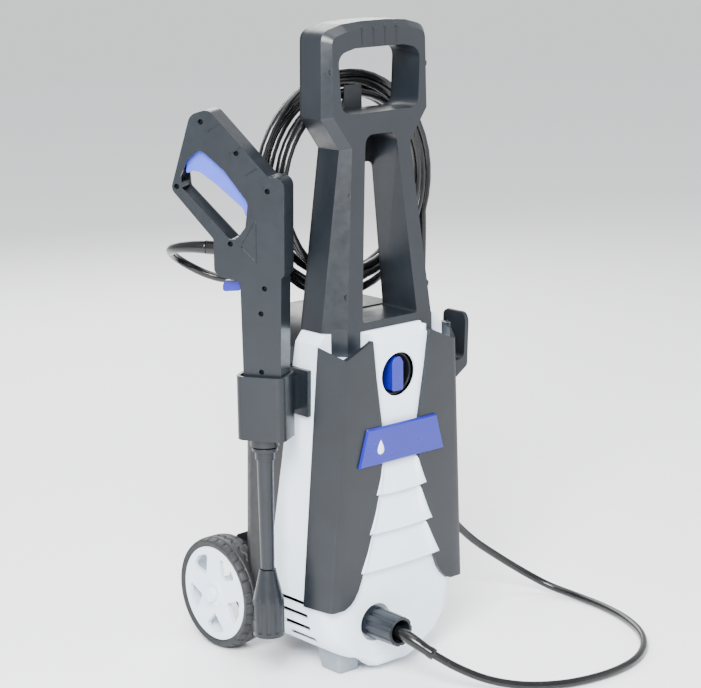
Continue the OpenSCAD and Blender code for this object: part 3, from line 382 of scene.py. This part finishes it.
# Corner radius of each moulding, in millimetres
SOFT_EDGES = {
    "front_shell": 1.0, "rear_shell": 1.2, "left_panel": 1.0, "right_panel": 1.0,
    "name_plate": 0.8, "switch_housing": 0.8, "switch_knob": 0.9, "tower_front": 1.2,
    "tower_back": 0.6, "hose_hook": 1.0, "gun_holder": 0.8, "feet": 1.0, "axle_caps": 1.0,
    "left_rim": 0.9, "right_rim": 0.9, "outlet_fitting": 0.3, "inlet_fitting": 0.5,
    "cable_gland": 0.4, "coupling_nut": 0.6, "gun_shell_near": 1.0, "gun_shell_far": 1.0,
    "trigger": 0.9, "hose_clip": 0.5, "lance_collar": 0.5, "lance_tube": 0.3,
    "nozzle_body": 0.5, "gun_sleeve": 0.6, "gun_screws": 0.2,
    "casing_screws": 0.2, "tower_screws": 0.2, "axle": 0.4,
}
mouldings = {node: softened(node, edge) for node, edge in SOFT_EDGES.items()}

# The knob's bar is blue as the frame has it; its disc, behind this depth, is made slate as painted
# shade, dark like the shadow deep in the switch's recess
DISC_Y_MM = -108.6
for polygon in mouldings["switch_knob"].data.polygons:
    if polygon.center.y > DISC_Y_MM * MM:
        polygon.material_index = 1
mouldings["switch_knob"].data.materials.append(slate_pp)

# Sleeve over the hose's start: full width, then tapering to a small ring at its end
SLEEVE_ROWS = 19
sleeve_path = place(front_path[:SLEEVE_ROWS])
sleeve_r = np.interp(np.linspace(0, 1, SLEEVE_ROWS), [0, 0.6, 0.9, 0.91, 1],
                     [8, 7.8, 6.6, 7.4, 7.2])
verts, faces = tube(sleeve_path, sleeve_r * MM, 28)
hose_sleeve = piece("hose_sleeve_taper", verts, faces, hose_pvc, "machine", ["hose_sleeve"])
# Bend guard over the hose's end at the gun: a taper that follows the hose
guard_path = place(gun_path[-SLEEVE_ROWS:])
guard_r = np.interp(np.arange(SLEEVE_ROWS), [0, 1, SLEEVE_ROWS - 1], [5.25, 5.6, 8.2])
verts, faces = tube(guard_path, guard_r * MM, 28)
bend_guard = piece("gun_bend_guard", verts, faces, hose_pvc, None)
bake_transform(bend_guard)


# ---------- slats ----------
# Height, and distance of each panel's inner edge from the middle
PANEL_IN = np.array([[100, 88], [104, 79], [110, 72.5], [120, 66], [134, 60.5], [160, 53],
                     [200, 42], [245, 33], [300, 27], [345, 34], [385, 40.5], [429, 46]])


def front_y(z):
    """The casing's front plane, which leans forward three hundredths from the floor up."""
    return -117.5 - 0.03 * np.asarray(z, float)


# A slat's sides start this far inside the panels' edges and its tips reach this far over them
PANEL_GAP, TIP_RIGHT, TIP_LEFT = 2.5, 11, 6
# Height above the casing at the top and how much it grows to the lip; height of the panels
PROUD_AT_TOP, PROUD_GROWS, PANEL_PROUD = 0.4, 6.2, 6.7
# The return under the lip: how far up, how proud, and how much narrower each row is
RETURN = np.array([[0.6, 6.6, 0.8], [1.6, 5.6, 1.2], [4.0, -0.5, 3.0]])
# How far a slat's middle hangs below its tips, and the width and run-in of its rise to the panels
DROOP, RISE, RISE_BEFORE = 1.92, 5, 6
SKIRT_DEPTH = 0.6


def slat(name, top, lip):
    """Shingle over the front: a grid of width and height, whose width grows from the panels' edges
    at the top to tips that lie on the panels at the lip. Its height above the casing grows evenly
    on the way down and, past the panels' edges, rises smoothly to lie over them. A return at the
    lip closes it back to the casing, and its middle hangs below its tips by one less the square
    of the share of the width."""
    down = np.linspace(0, 1, 25)
    across = np.linspace(-1, 1, 49)
    z = top + (lip - top) * down
    edge_at = np.interp(z, PANEL_IN[:, 0], PANEL_IN[:, 1])
    tips = np.where(across > 0, TIP_RIGHT, TIP_LEFT)
    half = (edge_at - PANEL_GAP)[:, None] + tips[None, :] * down[:, None]
    proud = PROUD_AT_TOP + PROUD_GROWS * down
    z = np.append(z, lip + RETURN[:, 0])
    edge_at = np.append(edge_at, [edge_at[-1]] * len(RETURN))
    half = np.vstack([half, half[-1:] - RETURN[:, 2:]])
    proud = np.append(proud, RETURN[:, 1])[:, None]
    x = across[None, :] * half
    over = np.clip((np.abs(x) - edge_at[:, None] + RISE_BEFORE) / RISE, 0, 1)
    over = over**2 * (3 - 2 * over) * (proud > 0)
    y = front_y(z)[:, None] - proud - over * np.maximum(PANEL_PROUD - proud, 0)
    droop = DROOP * np.append(down, [1] * len(RETURN))
    hung_z = z[:, None] - droop[:, None] * (1 - across[None, :] ** 2)
    points = np.stack([x, y, hung_z], -1)
    # skirt all round, down to just inside the casing
    edge = np.concatenate([points[0], points[1:-1, -1], points[-1, ::-1], points[-2:0:-1, 0]])
    skirt = edge.copy()
    skirt[:, 1] = front_y(skirt[:, 2]) + SKIRT_DEPTH
    rows, columns = x.shape
    faces = grid_faces(rows, columns)[:, ::-1].tolist()
    index = np.arange(rows * columns).reshape(rows, columns)
    ring = np.concatenate([index[0], index[1:-1, -1], index[-1, ::-1], index[-2:0:-1, 0]])
    n = len(ring)
    low = rows * columns + np.arange(n)
    faces += np.stack([ring, np.roll(ring, -1), np.roll(low, -1), low], 1).tolist()
    faces.append(low[::-1].tolist())
    return piece(name, place(np.vstack([points.reshape(-1, 3), skirt])), faces, casing_abs,
                 "machine")


for number, (top, lip) in enumerate(((273, 236), (234, 188), (186, 141))):
    slat(f"front_slat_{number + 1}", top, lip)


# ---------- painted groove shadows and plate emblem ---
def line_on(name, ends, y, radius, frame_of, material, body):
    """Round-ended raised line between two points given along and up, at depth y in that frame;
    drawn in a dark finish, it is a painted shadow line along a groove or edge.
    """
    (a, b), (c, d) = ends
    t = np.linspace(0, 1, 9)[:, None]
    flat = np.hstack([a + (c - a) * t, np.full_like(t, y), b + (d - b) * t])
    verts, faces = tube(place(frame_of(flat)), radius * MM, 10)
    return piece(name, verts, faces, material, body)


GUN_AT = np.array([-152.0, -59.0, 0.0])
GUN_TURN = math.radians(121)


def gun_frame(points):
    """Gun's own frame to the machine's: a turn about the upright axis and a shift."""
    c, s = math.cos(GUN_TURN), math.sin(GUN_TURN)
    p = np.asarray(points, float)
    return GUN_AT + np.stack([p[:, 0] * c - p[:, 1] * s, p[:, 0] * s + p[:, 1] * c, p[:, 2]], 1)


# Each family of lines: its depth and radius, then its lines
GROOVE_Y, GROOVE_R = 15.9, 0.7
GROOVES = (((54.3, 681.4), (39.2, 691.1)), ((28.6, 655.9), (12, 665.7)),
           ((9.6, 631.8), (-7, 641.6)))
RECESS_Y, RECESS_R = 15.8, 0.6
RECESS_EDGES = (((-1, 581), (-1, 530)), ((-1, 530), (18, 548)), ((18, 548), (-1, 581)))
RIB_Y, RIB_R, RIB_FOOT, RIB_TOP = -100.2, 0.9, 771, 796
RIB_X = (-27, -9, 9, 27)
# Thin black lines along the gun's grooves and its recess's edges: painted shadow where these
# hollows are shaded, not black parts of the gun
for number, ends in enumerate(GROOVES):
    line_on(f"gun_groove_shadow_{number + 1}", ends, GROOVE_Y, GROOVE_R, gun_frame, black_pp, "gun")
for number, ends in enumerate(RECESS_EDGES):
    line_on(f"gun_recess_shadow_{number + 1}", ends, RECESS_Y, RECESS_R, gun_frame, black_pp, "gun")
# Thin black lines between the grip's ribs: painted shadow in the grooves, not black parts of the
# grip
for number, x in enumerate(RIB_X):
    line_on(f"grip_rib_shadow_{number + 1}", ((x, RIB_FOOT), (x, RIB_TOP)), RIB_Y, RIB_R, np.asarray,
            black_pp, "machine")


DROP_X, DROP_Z = -36, 298
DROP_HALF_WIDTH, DROP_HALF_HEIGHT = 7.2, 9.5
# Height of the drop's edge above the casing's front plane, its dome, and how far it goes in
DROP_PROUD, DROP_DOME, DROP_DEPTH = 9.8, 0.9, 1.2
DROP_AROUND = 72


def droplet():
    """Water drop: half its width times the sine of the angle and the three halves power of the
    sine of half of it, against half its height times the cosine, which is round below and pointed
    at the top; domed by one less the square of the share of the way out from its middle."""
    a = np.linspace(0, TAU, DROP_AROUND + 1)[:-1]
    x = DROP_HALF_WIDTH * np.sin(a) * np.sin(a / 2) ** 1.5
    z = -DROP_HALF_HEIGHT * np.cos(a)
    s = np.linspace(0.04, 1, 7)[:, None]
    y = front_y(DROP_Z) - DROP_PROUD - DROP_DOME * (1 - s**2) + 0 * x
    top = np.stack([DROP_X + s * x, y, DROP_Z - s * z], -1)
    base = top[-1:].copy()
    base[..., 1] += DROP_DEPTH
    rows = np.concatenate([top, base])
    faces = grid_faces(len(rows), DROP_AROUND, round_columns=True).tolist()
    last = (len(rows) - 1) * DROP_AROUND
    faces += [list(range(DROP_AROUND))[::-1], list(range(last, last + DROP_AROUND))]
    return piece("plate_droplet", place(rows.reshape(-1, 3)), faces, casing_abs, "machine")


droplet()


# ---------- tyres ----------
WHEEL_R, WHEEL_IN, WHEEL_W, RIM_R = 72.0, 81.0, 40.0, 61.3
AXLE_Y, AXLE_Z = 94.0, 72.0
# The tread: how far its crown falls to the shoulders, depth of its grooves, blocks round the tyre
CROWN_FALL, TREAD_DEPTH, BLOCKS = 3.6, 2.0, 30
# Clearances inside the frame's solid: on the crown and on each side; bulge and dish of the walls
CROWN_GAP, SIDE_GAP, BULGE, DISH = 0.15, 0.4, 0.35, 1.6


def tyre(name, node, sign):
    """Ring whose radius over angle and width is the crown, which falls by the fourth power of the
    distance from the middle, less the tread: blocks cut by a groove that zigzags round the middle,
    a straight one each side of it and slots across each shoulder."""
    around, across = 360, 41
    angle = np.arange(around) / around * TAU
    w = np.linspace(-1, 1, across)
    angle, w = np.meshgrid(angle, w, indexing="ij")
    crown = WHEEL_R - CROWN_GAP - CROWN_FALL * np.abs(w) ** 4
    # widths below are shares of half the tyre's width, and phases are shares of a block
    block = angle * BLOCKS / TAU
    zigzag = 0.24 * np.abs(block % 1 * 2 - 1) - 0.12
    middle = np.abs(w - zigzag) < 0.06
    ring = np.abs(np.abs(w) - 0.5) < 0.04
    slots = ((block + 0.25 * np.sign(w)) % 1 < 0.16) & (np.abs(w) > 0.5) & (np.abs(w) < 0.97)
    radius = crown - TREAD_DEPTH * (middle | ring | slots)
    x = WHEEL_IN + WHEEL_W / 2 + w * (WHEEL_W / 2 - SIDE_GAP)
    # side walls: from the crown's edge down to the rim with a slight bulge
    s = np.linspace(0, 1, 9)[1:]
    shoulder_r = WHEEL_R - CROWN_GAP - CROWN_FALL
    wall_r = shoulder_r - s * (shoulder_r - RIM_R)
    bulge = BULGE * np.sin(s * math.pi)
    right_x = WHEEL_IN + WHEEL_W - SIDE_GAP + bulge - DISH * s
    left_x = WHEEL_IN + SIDE_GAP - bulge + DISH * s
    flat = np.ones((around, 1))
    radius = np.hstack([flat * wall_r[::-1], radius, flat * wall_r])
    x = np.hstack([flat * left_x[::-1], x, flat * right_x])
    a = angle[:, :1]
    points = np.stack([sign * x, AXLE_Y + radius * np.cos(a), AXLE_Z + radius * np.sin(a)], -1)
    faces = grid_faces(around, points.shape[1], round_rows=True, round_columns=True)
    if sign > 0:
        faces = faces[:, ::-1]
    return piece(name, place(points.reshape(-1, 3)), faces.tolist(), tyre_epdm, BODY_OF[node],
                 [node])


tyre("left_tyre_tread", "left_tyre", -1)
tyre("right_tyre_tread", "right_tyre", 1)


# ---------- floor and light ----------
FLOOR_HALF_M = 6.0
AIM_HEIGHT = 380
# Name, place in millimetres, width in metres and power in watts
LIGHTS = (
    ("key light", (-1700, -1500, 1900), 1.1, 220), ("fill light", (1500, -1900, 900), 2.0, 14),
    ("rim light", (900, 1900, 1700), 1.8, 60), ("top light", (0, 0, 2600), 1.6, 40),
)
SKY, SKY_STRENGTH = "#F6F8FA", 1.1


def add_stage():
    """Pale floor with a faint unevenness, the lights, and a pale even surround."""
    material, tree = new_material("matt studio floor")
    place_on = add(tree, "ShaderNodeTexCoord")
    noise = add(tree, "ShaderNodeTexNoise", [("Vector", place_on, "Object")],
                Scale=1 / (FLOOR_MM * MM), Detail=3.0)
    bump = add(tree, "ShaderNodeBump", [("Height", noise, "Fac")], Strength=0.1,
               Distance=0.3 * MM)
    shader = add(tree, "ShaderNodeBsdfPrincipled", [("Normal", bump, "Normal")],
                 Base_Color=linear("#FBFBFC"), Roughness=0.7)
    finish_material(tree, shader)
    corners = [(-FLOOR_HALF_M, -FLOOR_HALF_M, 0), (FLOOR_HALF_M, -FLOOR_HALF_M, 0),
               (FLOOR_HALF_M, FLOOR_HALF_M, 0), (-FLOOR_HALF_M, FLOOR_HALF_M, 0)]
    floor = piece("floor", corners, [(0, 1, 2, 3)], material, None)
    target = place([0, 0, AIM_HEIGHT])
    for name, at, size_m, watts in LIGHTS:
        data = bpy.data.lights.new(name, "AREA")
        data.energy = watts
        data.size = size_m
        light = bpy.data.objects.new(name, data)
        here = place(at)
        light.location = here
        light.rotation_euler = Vector(target - here).to_track_quat("-Z", "Y").to_euler()
        bpy.context.collection.objects.link(light)
    world = bpy.data.worlds.new("studio")
    world.use_nodes = True
    sky = world.node_tree.nodes["Background"]
    sky.inputs["Color"].default_value = linear(SKY)
    sky.inputs["Strength"].default_value = SKY_STRENGTH
    bpy.context.scene.world = world


add_stage()
bpy.context.view_layer.update()
